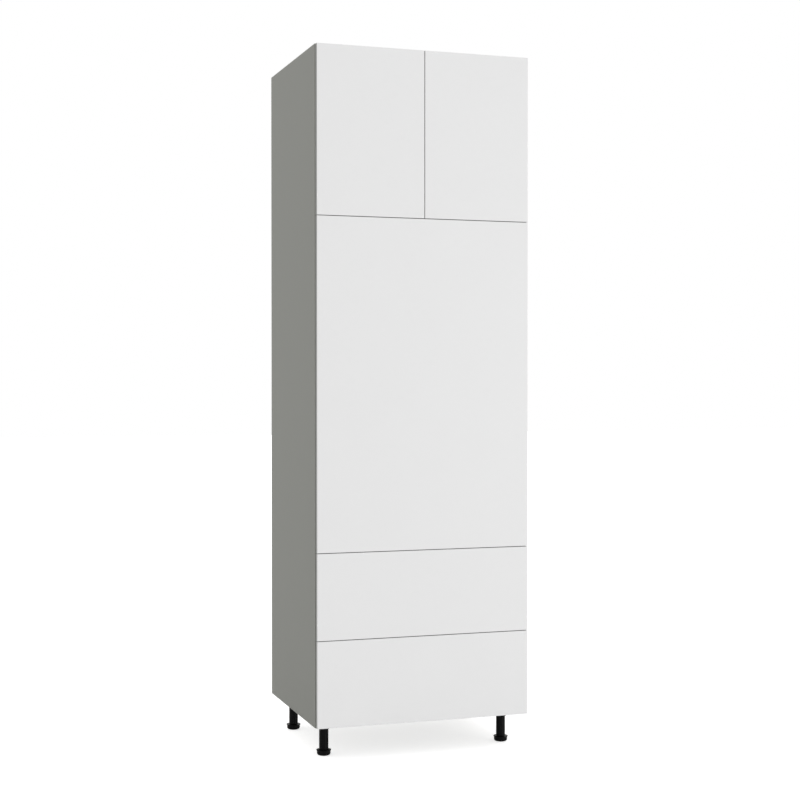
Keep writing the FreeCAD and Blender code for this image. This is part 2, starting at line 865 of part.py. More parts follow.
def leg_tube(y):
    """Tube with a threaded boss at its lower end."""
    bottom = foot_height + foot_gap
    inner = tube_radius - tube_wall
    boss = stem_radius + stem_fit
    profile = [
        (boss, bottom, 0), (tube_radius, bottom, 0), (tube_radius, plate_z, 0),
        (inner, plate_z, 0), (inner, bottom + tube_boss_height, 0),
        (boss, bottom + tube_boss_height, 0),
    ]
    return turned(profile, -leg_x, y)


def foot(y):
    """Screw foot: a round-bottomed cup with a flared lip, and the stem that climbs the tube."""
    rim_z = foot_height - foot_lip_slope
    lip_z = rim_z - foot_rim
    profile = [
        (0, 0, 0), (foot_radius, 0, foot_round), (foot_radius, lip_z - foot_flare, 0),
        (foot_lip_radius, lip_z, 0), (foot_lip_radius, rim_z, 0),
        (tube_radius, foot_height, 0), (stem_radius, foot_height, 0),
        (stem_radius, stem_height, 0), (0, stem_height, 0),
    ]
    return turned(profile, -leg_x, y)


def make_legs():
    """Four legs: sockets and tubes on the carcass, feet that turn."""
    save("leg_plates", both_sides([leg_socket(y) for y in leg_ys.values()]))
    save("leg_tubes", both_sides([leg_tube(y) for y in leg_ys.values()]))
    for end, y in leg_ys.items():
        save("foot_%s_left" % end, [foot(y)])
        save("foot_%s_right" % end, [mirrored(foot(y))])


def main():
    """Write every node."""
    os.makedirs("parts", exist_ok=True)
    make_side_panels()
    make_fixed_boards()
    make_joint_hardware()
    make_shelf()
    make_backs()
    make_hinges()
    make_doors()
    make_fixed_slab()
    make_runners()
    make_carcass_screws()
    for level, front_z in drawer_zs.items():
        make_drawer(level, front_z)
    make_legs()


main()
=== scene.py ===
import logging
import math
from dataclasses import dataclass, replace
from enum import Enum
from typing import Any, Sequence

import bpy
import numpy as np
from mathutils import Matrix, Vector


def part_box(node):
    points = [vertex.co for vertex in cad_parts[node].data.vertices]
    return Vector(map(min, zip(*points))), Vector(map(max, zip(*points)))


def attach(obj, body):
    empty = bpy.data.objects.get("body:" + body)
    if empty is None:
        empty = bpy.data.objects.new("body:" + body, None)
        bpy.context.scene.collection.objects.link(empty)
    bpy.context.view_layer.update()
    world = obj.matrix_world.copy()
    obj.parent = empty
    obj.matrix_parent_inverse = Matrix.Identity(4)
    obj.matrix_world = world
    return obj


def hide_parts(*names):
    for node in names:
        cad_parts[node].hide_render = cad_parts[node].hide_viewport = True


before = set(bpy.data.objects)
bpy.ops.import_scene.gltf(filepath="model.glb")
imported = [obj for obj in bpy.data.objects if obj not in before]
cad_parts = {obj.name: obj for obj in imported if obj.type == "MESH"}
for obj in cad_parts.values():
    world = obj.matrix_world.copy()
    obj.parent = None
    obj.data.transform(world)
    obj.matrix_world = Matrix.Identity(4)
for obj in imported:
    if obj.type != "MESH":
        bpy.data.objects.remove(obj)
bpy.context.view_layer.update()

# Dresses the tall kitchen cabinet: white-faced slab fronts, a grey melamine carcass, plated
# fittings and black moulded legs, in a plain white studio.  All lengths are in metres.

Tree = bpy.types.NodeTree
Socket = bpy.types.NodeSocket
Piece = bpy.types.Object
Pair = tuple[float, float]
Colour = tuple[float, float, float, float]

LOG = logging.getLogger("tall_cabinet")
MM = 0.001
WHITE: Colour = (1.0, 1.0, 1.0, 1.0)
DOWN = Vector((0, 0, -1))
# Corners of the solids that lie nearer than this are one corner.
WELD = 0.01 * MM
# Corners round a turned piece: as many as the outline of its cross recess has.
RING_POINTS = 24
# Turn that brings a camera or a lamp from looking down to looking level.
UPRIGHT = math.pi / 2
# Math operation that gives 1 where the first value is over the second, and 0 elsewhere.
OVER = "GREATER_THAN"
# Places of the Mix node's sockets for colours, whose names repeat.
MIX_SHARE, MIX_FIRST, MIX_SECOND, MIX_RESULT = 0, 6, 7, 2


class Axis(Enum):
    """A main direction of the cabinet, by its index in a vector."""

    ACROSS = 0
    DEEP = 1
    UP = 2


class Side(Enum):
    """A side of the cabinet, seen from the front."""

    LEFT = "left"
    RIGHT = "right"


class Level(Enum):
    """Which of the two drawers."""

    UPPER = "upper"
    LOWER = "lower"


class Reading(Enum):
    """What a material reads of a surface, in the piece's own coordinates."""

    PLACE = "Object"
    WAY = "Normal"


def linear(hex_colour: str) -> Colour:
    """Turns an sRGB hex colour into linear light.

    Args:
        hex_colour: Six hex digits, with or without a leading hash.

    Returns:
        Red, green, blue and a full alpha.
    """
    digits = hex_colour.lstrip("#")
    shares = [int(digits[i : i + 2], 16) / 255 for i in (0, 2, 4)]
    light = [s / 12.92 if s <= 0.04045 else ((s + 0.055) / 1.055) ** 2.4 for s in shares]
    return (*light, 1.0)


def shaded(colour: Colour, share: float, lift: float = 0.0) -> Colour:
    """A linear colour at a share of its brightness, with a little light added."""
    return (*(min(part * share + lift, 1.0) for part in colour[:3]), colour[3])


def per_metre(size: float) -> float:
    """Texture scale at which one cell of a pattern is about this size in metres."""
    return 1.0 / size


def add_node(tree: Tree, kind: str, inputs: dict[str | int, Any] | None = None,
             **settings: Any) -> bpy.types.Node:
    """Adds one node, fills or links its inputs and sets its properties.

    Args:
        tree: The tree that gets the node.
        kind: The node's type name.
        inputs: Input name or index to a value, or to the socket that feeds it.
        settings: Properties of the node.

    Returns:
        The new node.
    """
    node = tree.nodes.new(kind)
    for name, value in settings.items():
        setattr(node, name, value)
    for name, value in (inputs or {}).items():
        if isinstance(value, Socket):
            tree.links.new(value, node.inputs[name])
        else:
            node.inputs[name].default_value = value
    return node


def placed(tree: Tree, stretch: Sequence[float] = (1.0, 1.0, 1.0)) -> Socket:
    """Object coordinates, scaled on each axis.

    Args:
        tree: The material's tree.
        stretch: Scale on each axis; less than one draws a pattern out along it.

    Returns:
        The vector socket that patterns read.
    """
    spot = add_node(tree, "ShaderNodeTexCoord")
    mapped = add_node(tree, "ShaderNodeMapping", {
        "Vector": spot.outputs["Object"], "Scale": tuple(stretch),
    })
    return mapped.outputs["Vector"]


def read_axis(tree: Tree, reading: Reading, axis: Axis) -> Socket:
    """One axis of the surface's place, or of the way that it faces.

    Args:
        tree: The material's tree.
        reading: Place or way.
        axis: The axis.

    Returns:
        The value's socket.
    """
    spot = add_node(tree, "ShaderNodeTexCoord").outputs[reading.value]
    return add_node(tree, "ShaderNodeSeparateXYZ", {"Vector": spot}).outputs[axis.value]


@dataclass(frozen=True)
class Pattern:
    """A value from 0 to 1 over a surface, read in the piece's own coordinates."""

    def share(self, tree: Tree) -> Socket:
        """Builds the value; each pattern has its own."""
        raise NotImplementedError

    def tones(self, tree: Tree, first: Colour | Socket, second: Colour | Socket) -> Socket:
        """Builds the pattern in two colours.

        Args:
            tree: The material's tree.
            first: Colour where the pattern is 0.
            second: Colour where the pattern is 1.

        Returns:
            The colour's socket.
        """
        mixed = add_node(tree, "ShaderNodeMix", {
            MIX_SHARE: self.share(tree), MIX_FIRST: first, MIX_SECOND: second,
        }, data_type="RGBA")
        return mixed.outputs[MIX_RESULT]


@dataclass(frozen=True)
class Cloud(Pattern):
    """Noise in lumps of about one size.

    Attributes:
        size: Size of a lump.
        detail: Octaves of finer noise on top.
        along: Axis along which the lumps are drawn out.
        squeeze: Scale along it; less than one draws them out.
        fade: What each octave keeps of the one before.
    """

    size: float
    detail: float = 2.0
    along: Axis = Axis.UP
    squeeze: float = 1.0
    fade: float = 0.55

    def share(self, tree: Tree) -> Socket:
        """Builds the noise.

        Args:
            tree: The material's tree.

        Returns:
            The value's socket.
        """
        stretch = [self.squeeze if axis is self.along else 1.0 for axis in Axis]
        noise = add_node(tree, "ShaderNodeTexNoise", {
            "Vector": placed(tree, stretch), "Scale": per_metre(self.size),
            "Detail": self.detail, "Roughness": self.fade,
        })
        return noise.outputs["Fac"]


@dataclass(frozen=True)
class Chips(Pattern):
    """Pressed chips, each with a tone of its own.

    Attributes:
        size: Size of a chip.
    """

    size: float

    def share(self, tree: Tree) -> Socket:
        """Builds the chips.

        Args:
            tree: The material's tree.

        Returns:
            The value's socket.
        """
        cells = add_node(tree, "ShaderNodeTexVoronoi", {
            "Vector": placed(tree), "Scale": per_metre(self.size),
        })
        tone = add_node(tree, "ShaderNodeSeparateColor", {"Color": cells.outputs["Color"]})
        return tone.outputs[0]


@dataclass(frozen=True)
class ScreenPrint(Pattern):
    """Print of a wire screen, slanting across a board's faces.

    Attributes:
        size: Distance from wire to wire along an axis.
        waver: How much the wires wander.
        turn: Radians that the texture's bands turn through in one cell.
    """

    size: float
    waver: float = 0.6
    turn: float = 10.0

    def share(self, tree: Tree) -> Socket:
        """Builds the print.

        Args:
            tree: The material's tree.

        Returns:
            The value's socket.
        """
        wires = add_node(tree, "ShaderNodeTexWave", {
            "Vector": placed(tree), "Scale": per_metre(self.size) * math.tau / self.turn,
            "Distortion": self.waver,
        }, bands_direction="DIAGONAL")
        return wires.outputs["Fac"]


@dataclass(frozen=True)
class Facing(Pattern):
    """1 where the surface faces along an axis, and 0 elsewhere.

    Attributes:
        axis: The axis.
        one_way: Whether only the axis's own direction counts.
        least: Cosine above which a surface counts as facing it.
    """

    axis: Axis
    one_way: bool = False
    least: float = 0.5

    def share(self, tree: Tree) -> Socket:
        """Builds the test.

        Args:
            tree: The material's tree.

        Returns:
            The value's socket.
        """
        part = read_axis(tree, Reading.WAY, self.axis)
        if not self.one_way:
            part = add_node(tree, "ShaderNodeMath", {0: part}, operation="ABSOLUTE").outputs[0]
        test = add_node(tree, "ShaderNodeMath", {0: part, 1: self.least}, operation=OVER)
        return test.outputs[0]


@dataclass(frozen=True)
class RawCut(Pattern):
    """1 on cut edges and bores, 0 on a board's faces and on its banded front edge.

    Attributes:
        face: Axis that the board's faces look along.
        board: A board with that front edge.
        band: Depth that counts as the edge.
    """

    face: Axis
    board: str
    band: float = 0.5 * MM

    def share(self, tree: Tree) -> Socket:
        """Builds the test.

        Args:
            tree: The material's tree.

        Returns:
            The value's socket.
        """
        behind = add_node(tree, "ShaderNodeMath", {
            0: read_axis(tree, Reading.PLACE, Axis.DEEP), 1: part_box(self.board)[0].y + self.band,
        }, operation=OVER)
        # Both are 0 or 1, so the first is over the second only behind the band and off the faces.
        cut = add_node(tree, "ShaderNodeMath", {
            0: behind.outputs[0], 1: Facing(self.face).share(tree),
        }, operation=OVER)
        return cut.outputs[0]


@dataclass(frozen=True)
class Finish:
    """A surface finish, built once as a material.

    Attributes:
        name: The material's name.
        slot: The record's material slot that it stands for.
        colour: Its colour.
        gloss: Its roughness.
        grain: Pattern of its relief.
        depth: Height of the relief.
        strength: How much of the relief is applied.
        spread: Change of roughness where its pattern is 0 and where it is 1.
        wear: Pattern of its roughness, where that isn't the grain.
        lumps: Pattern of its colour, where that isn't even.
        shade: Brightness of the lumps' second tone.
        sheen: Strength of its reflection.
        metallic: 1 on a metal.
    """

    name: str
    slot: str
    colour: str
    gloss: float
    grain: Pattern
    depth: float = 0.02 * MM
    strength: float = 0.4
    spread: Pair = (0.0, 0.0)
    wear: Pattern | None = None
    lumps: Pattern | None = None
    shade: float = 1.0
    sheen: float = 0.5
    metallic: float = 0.0

    def tones(self) -> tuple[Colour, Colour]:
        """Colours where the lumps are 0 and where they are 1."""
        return shaded(linear(self.colour), self.shade), linear(self.colour)

    def shown(self, tree: Tree) -> Colour | Socket:
        """The colour that the eye sees, as a value or a socket."""
        return self.lumps.tones(tree, *self.tones()) if self.lumps else linear(self.colour)

    def material(self) -> bpy.types.Material:
        """Makes the material on first use, and finds it again after that.

        Returns:
            The material.
        """
        made = bpy.data.materials.get(self.name)
        if made:
            return made
        made = bpy.data.materials.new(self.name)
        made.use_nodes = True
        tree = made.node_tree
        tree.nodes.clear()
        grain = self.grain.share(tree)
        relief = add_node(tree, "ShaderNodeBump", {
            "Height": grain, "Distance": self.depth, "Strength": self.strength,
        })
        roughness = self.gloss
        if any(self.spread):
            roughness = add_node(tree, "ShaderNodeMapRange", {
                "Value": self.wear.share(tree) if self.wear else grain,
                "To Min": self.gloss + self.spread[0], "To Max": self.gloss + self.spread[1],
            }).outputs["Result"]
        shader = add_node(tree, "ShaderNodeBsdfPrincipled", {
            "Base Color": self.shown(tree), "Metallic": self.metallic, "Roughness": roughness,
            "Specular IOR Level": self.sheen, "Normal": relief.outputs["Normal"],
        })
        add_node(tree, "ShaderNodeOutputMaterial", {"Surface": shader.outputs[0]})
        return made


@dataclass(frozen=True)
class FacedBoard(Finish):
    """Particleboard faced and edged with melamine paper: an even colour with a faint pearl, and
    a low sheen over the texture of the press plate."""

    colour: str = "#82837C"
    gloss: float = 0.5
    grain: Pattern = Cloud(0.9 * MM)
    depth: float = 0.03 * MM
    strength: float = 0.5
    spread: Pair = (-0.06, 0.06)
    # The paper's pearl is 0.3 mm across; it is drawn at 5 mm so that it shows at all.
    lumps: Pattern = Cloud(5 * MM, 3.0)
    shade: float = 0.965
    sheen: float = 0.4


@dataclass(frozen=True)
class CutBoard(FacedBoard):
    """Faced board with its raw core, dull and dry, wherever it is cut but not banded: pressed
    softwood chips, tan with darker flakes.

    Attributes:
        chips: The core's chips.
        chip_dark: Colour of the darkest chips.
        chip_pale: Colour of the lightest ones.
    """

    slot: str = "carcass_melamine"
    spread: Pair = (0.0, 0.35)
    chips: Pattern = Chips(3.2 * MM)
    chip_dark: str = "#A1835A"
    chip_pale: str = "#CDB48C"

    def shown(self, tree: Tree) -> Socket:
        """Paper on the faces, chips at the cuts."""
        core = self.chips.tones(tree, linear(self.chip_dark), linear(self.chip_pale))
        return self.wear.tones(tree, super().shown(tree), core)


@dataclass(frozen=True)
class SlabFront(Finish):
    """Slab front: board under satin lacquered paper, with a broad soft gloss over a faint orange
    peel on its white faces, and a grey band round its edges, darker to paint the shade on them.

    Attributes:
        band: Colour of the edges, as dark as the side panel, which paints the shade that falls on
            them.
    """

    colour: str = "#EAEAEA"
    # Painted shade: this grey on the edges stands for the shade that falls on them.
    band: str = "#9A9B98"
    gloss: float = 0.42
    # The lacquer's orange peel is under a millimetre; it is drawn at 3 mm.
    grain: Pattern = Cloud(3 * MM)
    strength: float = 0.35
    spread: Pair = (-0.04, 0.04)
    lumps: Pattern = Cloud(180 * MM, 1.0)
    shade: float = 0.985
    sheen: float = 0.3

    def shown(self, tree: Tree) -> Socket:
        """White on the faces, and the band's painted shade round them."""
        # Every face that doesn't look front or back gets the band's grey, which is painted shade.
        return Facing(Axis.DEEP).tones(tree, linear(self.band), super().shown(tree))


@dataclass(frozen=True)
class Hardboard(Finish):
    """Hardboard lacquered in the carcass's grey on both faces, over the faint print of the wire
    screen that it was pressed on."""

    colour: str = "#9C9D98"
    gloss: float = 0.45
    # The screen's wires lie 1.2 mm apart; they are drawn at 9.5 mm so that they show at all.
    grain: Pattern = ScreenPrint(9.475 * MM)
    depth: float = 0.05 * MM


@dataclass(frozen=True)
class BareBackedHardboard(Hardboard):
    """Hardboard lacquered on the face that looks into the cabinet only, with bare, dull brown
    fibre behind.

    Attributes:
        strands: The fibre's strands.
        strand_dark: Their dark tone.
        strand_pale: Their light tone.
    """

    spread: Pair = (0.0, 0.35)
    wear: Pattern = Facing(Axis.DEEP, one_way=True)
    strands: Pattern = Cloud(6 * MM, 4.0, Axis.UP, 0.35)
    strand_dark: str = "#7A5C3C"
    strand_pale: str = "#9B7A55"

    def shown(self, tree: Tree) -> Socket:
        """Lacquer inside, fibre outside."""
        fibre = self.strands.tones(tree, linear(self.strand_dark), linear(self.strand_pale))
        return self.wear.tones(tree, linear(self.colour), fibre)


@dataclass(frozen=True)
class PlatedSteel(Finish):
    """Cold-rolled steel with a bright plating: a soft mirror under a faint bloom, with marks
    that rolling or pressing drew out along one axis."""

    colour: str = "#C9C9C7"
    gloss: float = 0.3
    grain: Pattern = Cloud(0.8 * MM, 3.0, Axis.DEEP, 0.06)
    spread: Pair = (-0.07, 0.1)
    lumps: Pattern = Cloud(14 * MM)
    shade: float = 0.84
    metallic: float = 1.0


@dataclass(frozen=True)
class CastZinc(Finish):
    """Die-cast zinc: dull grey metal with a fine cast grain, and painted shade that darkens its
    hollows.
    """

    colour: str = "#A9ABAD"
    gloss: float = 0.51
    grain: Pattern = Cloud(0.7 * MM, 3.0)
    depth: float = 0.05 * MM
    strength: float = 0.5
    spread: Pair = (-0.09, 0.09)
    # The colour follows the grain's relief, so the hollows are painted a quarter darker as shade.
    lumps: Pattern = grain
    shade: float = 0.75
    metallic: float = 1.0


@dataclass(frozen=True)
class MouldedPlastic(Finish):
    """Injection-moulded plastic: an even colour, a little lighter where it flowed, and the gloss
    of its skin over the faint spark-eroded grain of the mould.

    Attributes:
        lift: Light that the flow adds on the darkest plastic.
    """

    gloss: float = 0.3
    grain: Pattern = Cloud(1.2 * MM)
    strength: float = 0.3
    spread: Pair = (-0.04, 0.06)
    lumps: Pattern = Cloud(22 * MM)
    shade: float = 1.25
    sheen: float = 0.35
    lift: float = 0.001

    def tones(self) -> tuple[Colour, Colour]:
        """The plastic's own colour, and the lighter one of the flow."""
        return linear(self.colour), shaded(linear(self.colour), self.shade, self.lift)


@dataclass(frozen=True)
class Beech(Finish):
    """Steamed beech, turned: pinkish tan with short dark flecks along the grain.

    Attributes:
        fleck: Colour of the flecks.
    """

    colour: str = "#CFA678"
    gloss: float = 0.6
    grain: Pattern = Cloud(1.1 * MM, 4.0, Axis.ACROSS, 0.15)
    depth: float = 0.05 * MM
    lumps: Pattern = grain
    fleck: str = "#A97B4F"

    def tones(self) -> tuple[Colour, Colour]:
        """Flecks, and the wood between them."""
        return linear(self.fleck), linear(self.colour)


@dataclass(frozen=True)
class FinishBook:
    """All finishes of the cabinet, each made once."""

    front: Finish = SlabFront("satin_white_slab_front", "front_foil")
    side: Finish = CutBoard("grey_melamine_side", wear=RawCut(Axis.ACROSS, "side_panel_left"))
    board: Finish = CutBoard("grey_melamine_board", wear=RawCut(Axis.UP, "bottom_panel"))
    shelf: Finish = CutBoard("grey_melamine_shelf", wear=RawCut(Axis.UP, "adjustable_shelf"))
    rail: Finish = CutBoard("grey_melamine_rail", wear=RawCut(Axis.DEEP, "side_panel_left"))
    drawer_board: Finish = FacedBoard("grey_melamine_drawer", "drawer_board", "#A1A29E")
    back: Finish = BareBackedHardboard("lacquered_hardboard_back", "back_hardboard")
    drawer_bottom: Finish = Hardboard("lacquered_hardboard_drawer_bottom",
                                      "drawer_bottom_board", "#ABACA8")
    runner: Finish = PlatedSteel("rolled_zinc_plated_steel", "runner_steel", "#BFC3C6", 0.34)
    hinge: Finish = PlatedSteel("pressed_nickel_plated_steel", "hinge_steel", "#CCCAC7", 0.32)
    bracket: Finish = PlatedSteel("galvanised_bracket_steel", "bracket_steel", "#B4B7B9", 0.42,
                                  replace(PlatedSteel.grain, along=Axis.UP))
    screw: Finish = PlatedSteel("turned_zinc_plated_steel", "screw_steel", "#C6C8CA", 0.28)
    pin: Finish = PlatedSteel("turned_nickel_plated_steel", "pin_steel", "#CDCAC5", 0.22)
    cam: Finish = CastZinc("die_cast_zinc", "cam_zinc")
    leg: Finish = MouldedPlastic("black_moulded_abs", "leg_plastic", "#060607", sheen=0.09)
    cage: Finish = MouldedPlastic("natural_moulded_acetal", "cage_plastic", "#DAD8CF", 0.4)
    bumper: Finish = MouldedPlastic("soft_clear_bumper", "bumper_plastic", "#D5D7D8", 0.25)
    dowel: Finish = Beech("steamed_beech", "dowel_beech")


@dataclass(frozen=True)
class Island:
    """One loose solid of a node.

    Attributes:
        points: Its corners, one per row.
    """

    points: np.ndarray

    @property
    def low(self) -> Vector:
        """Lowest corner."""
        return Vector(self.points.min(0))

    @property
    def high(self) -> Vector:
        """Highest corner."""
        return Vector(self.points.max(0))

    @property
    def centre(self) -> Vector:
        """Middle of its box."""
        return (self.low + self.high) / 2

    @property
    def size(self) -> Vector:
        """Extent on each axis."""
        return self.high - self.low


def islands(name: str) -> list[Island]:
    """Splits a node into its loose solids.

    Args:
        name: The node.

    Returns:
        One island for each solid.
    """
    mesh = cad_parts[name].data
    corners = np.zeros(len(mesh.vertices) * 3, np.float32)
    mesh.vertices.foreach_get("co", corners)
    corners = corners.reshape(-1, 3)
    _, same = np.unique(np.round(corners / WELD).astype(np.int64), axis=0, return_inverse=True)
    same = same.reshape(-1)
    edges = np.zeros(len(mesh.edges) * 2, np.int64)
    mesh.edges.foreach_get("vertices", edges)
    ends = same[edges].reshape(-1, 2)
    # Each corner takes the least number along its edges until nothing changes any more.
    group = np.arange(same.max() + 1)
    while True:
        least = np.minimum(group[ends[:, 0]], group[ends[:, 1]])
        after = group.copy()
        np.minimum.at(after, ends[:, 0], least)
        np.minimum.at(after, ends[:, 1], least)
        after = after[after]
        if (after == group).all():
            break
        group = after
    owner = group[same]
    return [Island(corners[owner == key]) for key in np.unique(owner)]


def ring(radius: float, height: float) -> list[Vector]:
    """One circle of a turned piece.

    Args:
        radius: Its radius.
        height: Its height.

    Returns:
        The corners, in turn round the axis from +X.
    """
    turns = np.arange(RING_POINTS) * (math.tau / RING_POINTS)
    return [Vector((radius * math.cos(turn), radius * math.sin(turn), height)) for turn in turns]


def cross(reach: float, half: float, height: float) -> list[Vector]:
    """Outline of a cross recess with as many corners as a ring.

    Args:
        reach: Distance from the axis to an arm's end.
        half: Half an arm's width.
        height: Height of the outline.

    Returns:
        The corners, in turn round the axis from +X, like a ring's.
    """
    mid = (reach + half) / 2
    quarter = [(reach, 0.0), (reach, half), (mid, half), (half, half), (half, mid), (half, reach)]
    corners = []
    for _ in range(4):
        corners += [Vector((x, y, height)) for x, y in quarter]
        quarter = [(-y, x) for x, y in quarter]
    return corners


def linked(name: str, data: bpy.types.ID) -> Piece:
    """Puts a mesh, lamp or camera into the scene as an object at the origin.

    Args:
        name: The object's name.
        data: What it holds.

    Returns:
        The object.
    """
    thing = bpy.data.objects.new(name, data)
    bpy.context.scene.collection.objects.link(thing)
    return thing


@dataclass(frozen=True)
class TurnedFastener:
    """A screw or cam: a round body along +Z with a cross recess in its head.

    Attributes:
        head_radius: Radius of the head.
        head: Height of the head over its seat.
        shank_radius: Radius of the shank.
        length: Length of the shank under the seat.
        recess: Depth of the cross recess.
        tip_share: Radius at the tip, as a share of the shank's.
        profile_shares: Radius and height up the head, as shares of its own.
        arm_shares: Reach and half width of the recess's arms, as shares of the head's radius.
        bottom_shares: Both at the recess's bottom, as shares of those at its top.
    """

    head_radius: float
    head: float
    shank_radius: float
    length: float
    recess: float = 0.9 * MM
    tip_share: float = 0.35
    profile_shares: tuple[Pair, ...] = ((1.0, 0.45), (0.9, 0.86), (0.74, 1.0))
    arm_shares: Pair = (0.62, 0.16)
    bottom_shares: Pair = (0.72, 0.6)

    def mesh(self, name: str) -> bpy.types.Mesh:
        """Builds the fastener with its seat at height zero and its head upwards.

        Args:
            name: The mesh's name.

        Returns:
            The mesh, closed at both ends.
        """
        reach, half = (self.head_radius * share for share in self.arm_shares)
        deep_reach, deep_half = self.bottom_shares
        rings = [
            ring(self.shank_radius * self.tip_share, -self.length),
            ring(self.shank_radius, -self.length + self.shank_radius),
            ring(self.shank_radius, 0.0),
            ring(self.head_radius, 0.0),
            *(ring(self.head_radius * wide, self.head * high)
              for wide, high in self.profile_shares),
            cross(reach, half, self.head),
            cross(reach * deep_reach, half * deep_half, self.head - self.recess),
        ]
        top = RING_POINTS * (len(rings) - 1)
        faces = [tuple(reversed(range(RING_POINTS)))]
        for base in range(0, top, RING_POINTS):
            for i in range(RING_POINTS):
                low, ahead = base + i, base + (i + 1) % RING_POINTS
                faces.append((low, ahead, ahead + RING_POINTS, low + RING_POINTS))
        faces.append(tuple(range(top, top + RING_POINTS)))
        mesh = bpy.data.meshes.new(name)
        mesh.from_pydata([corner for one in rings for corner in one], [], faces)
        mesh.validate()
        return mesh


@dataclass(frozen=True)
class Seated:
    """A fastener in its place.

    Attributes:
        seat: Point on its axis where the head's underside lies.
        way: Direction in which the head stands.
        shape: Its sizes.
    """

    seat: Vector
    way: Vector
    shape: TurnedFastener

    @classmethod
    def read(cls, plain: Island, rim_share: float = 0.95, tip: float = 0.1 * MM) -> "Seated":
        """Reads a plain screw's place and sizes off its solid.

        Args:
            plain: The plain screw.
            rim_share: Corners over this share of the largest radius are the head's.
            tip: Corners that lie nearer than this to the other end are the tip's.

        Returns:
            The screw.
        """
        axis = max(Axis, key=lambda way: plain.size[way.value]).value
        length = plain.size[axis]
        offset = plain.points - np.array(plain.centre)
        along = offset[:, axis]
        across = np.linalg.norm(np.delete(offset, axis, 1), axis=1)
        head_radius = float(across.max())
        heads = along[across > head_radius * rim_share]
        head = float(heads.max() - heads.min())
        side = 1.0 if heads.mean() > 0 else -1.0
        shank_radius = float(across[np.abs(along + side * length / 2) < tip].max())
        way = Vector((0, 0, 0))
        way[axis] = side
        seat = plain.centre + way * (length / 2 - head)
        return cls(seat, way, TurnedFastener(head_radius, head, shank_radius, length - head))


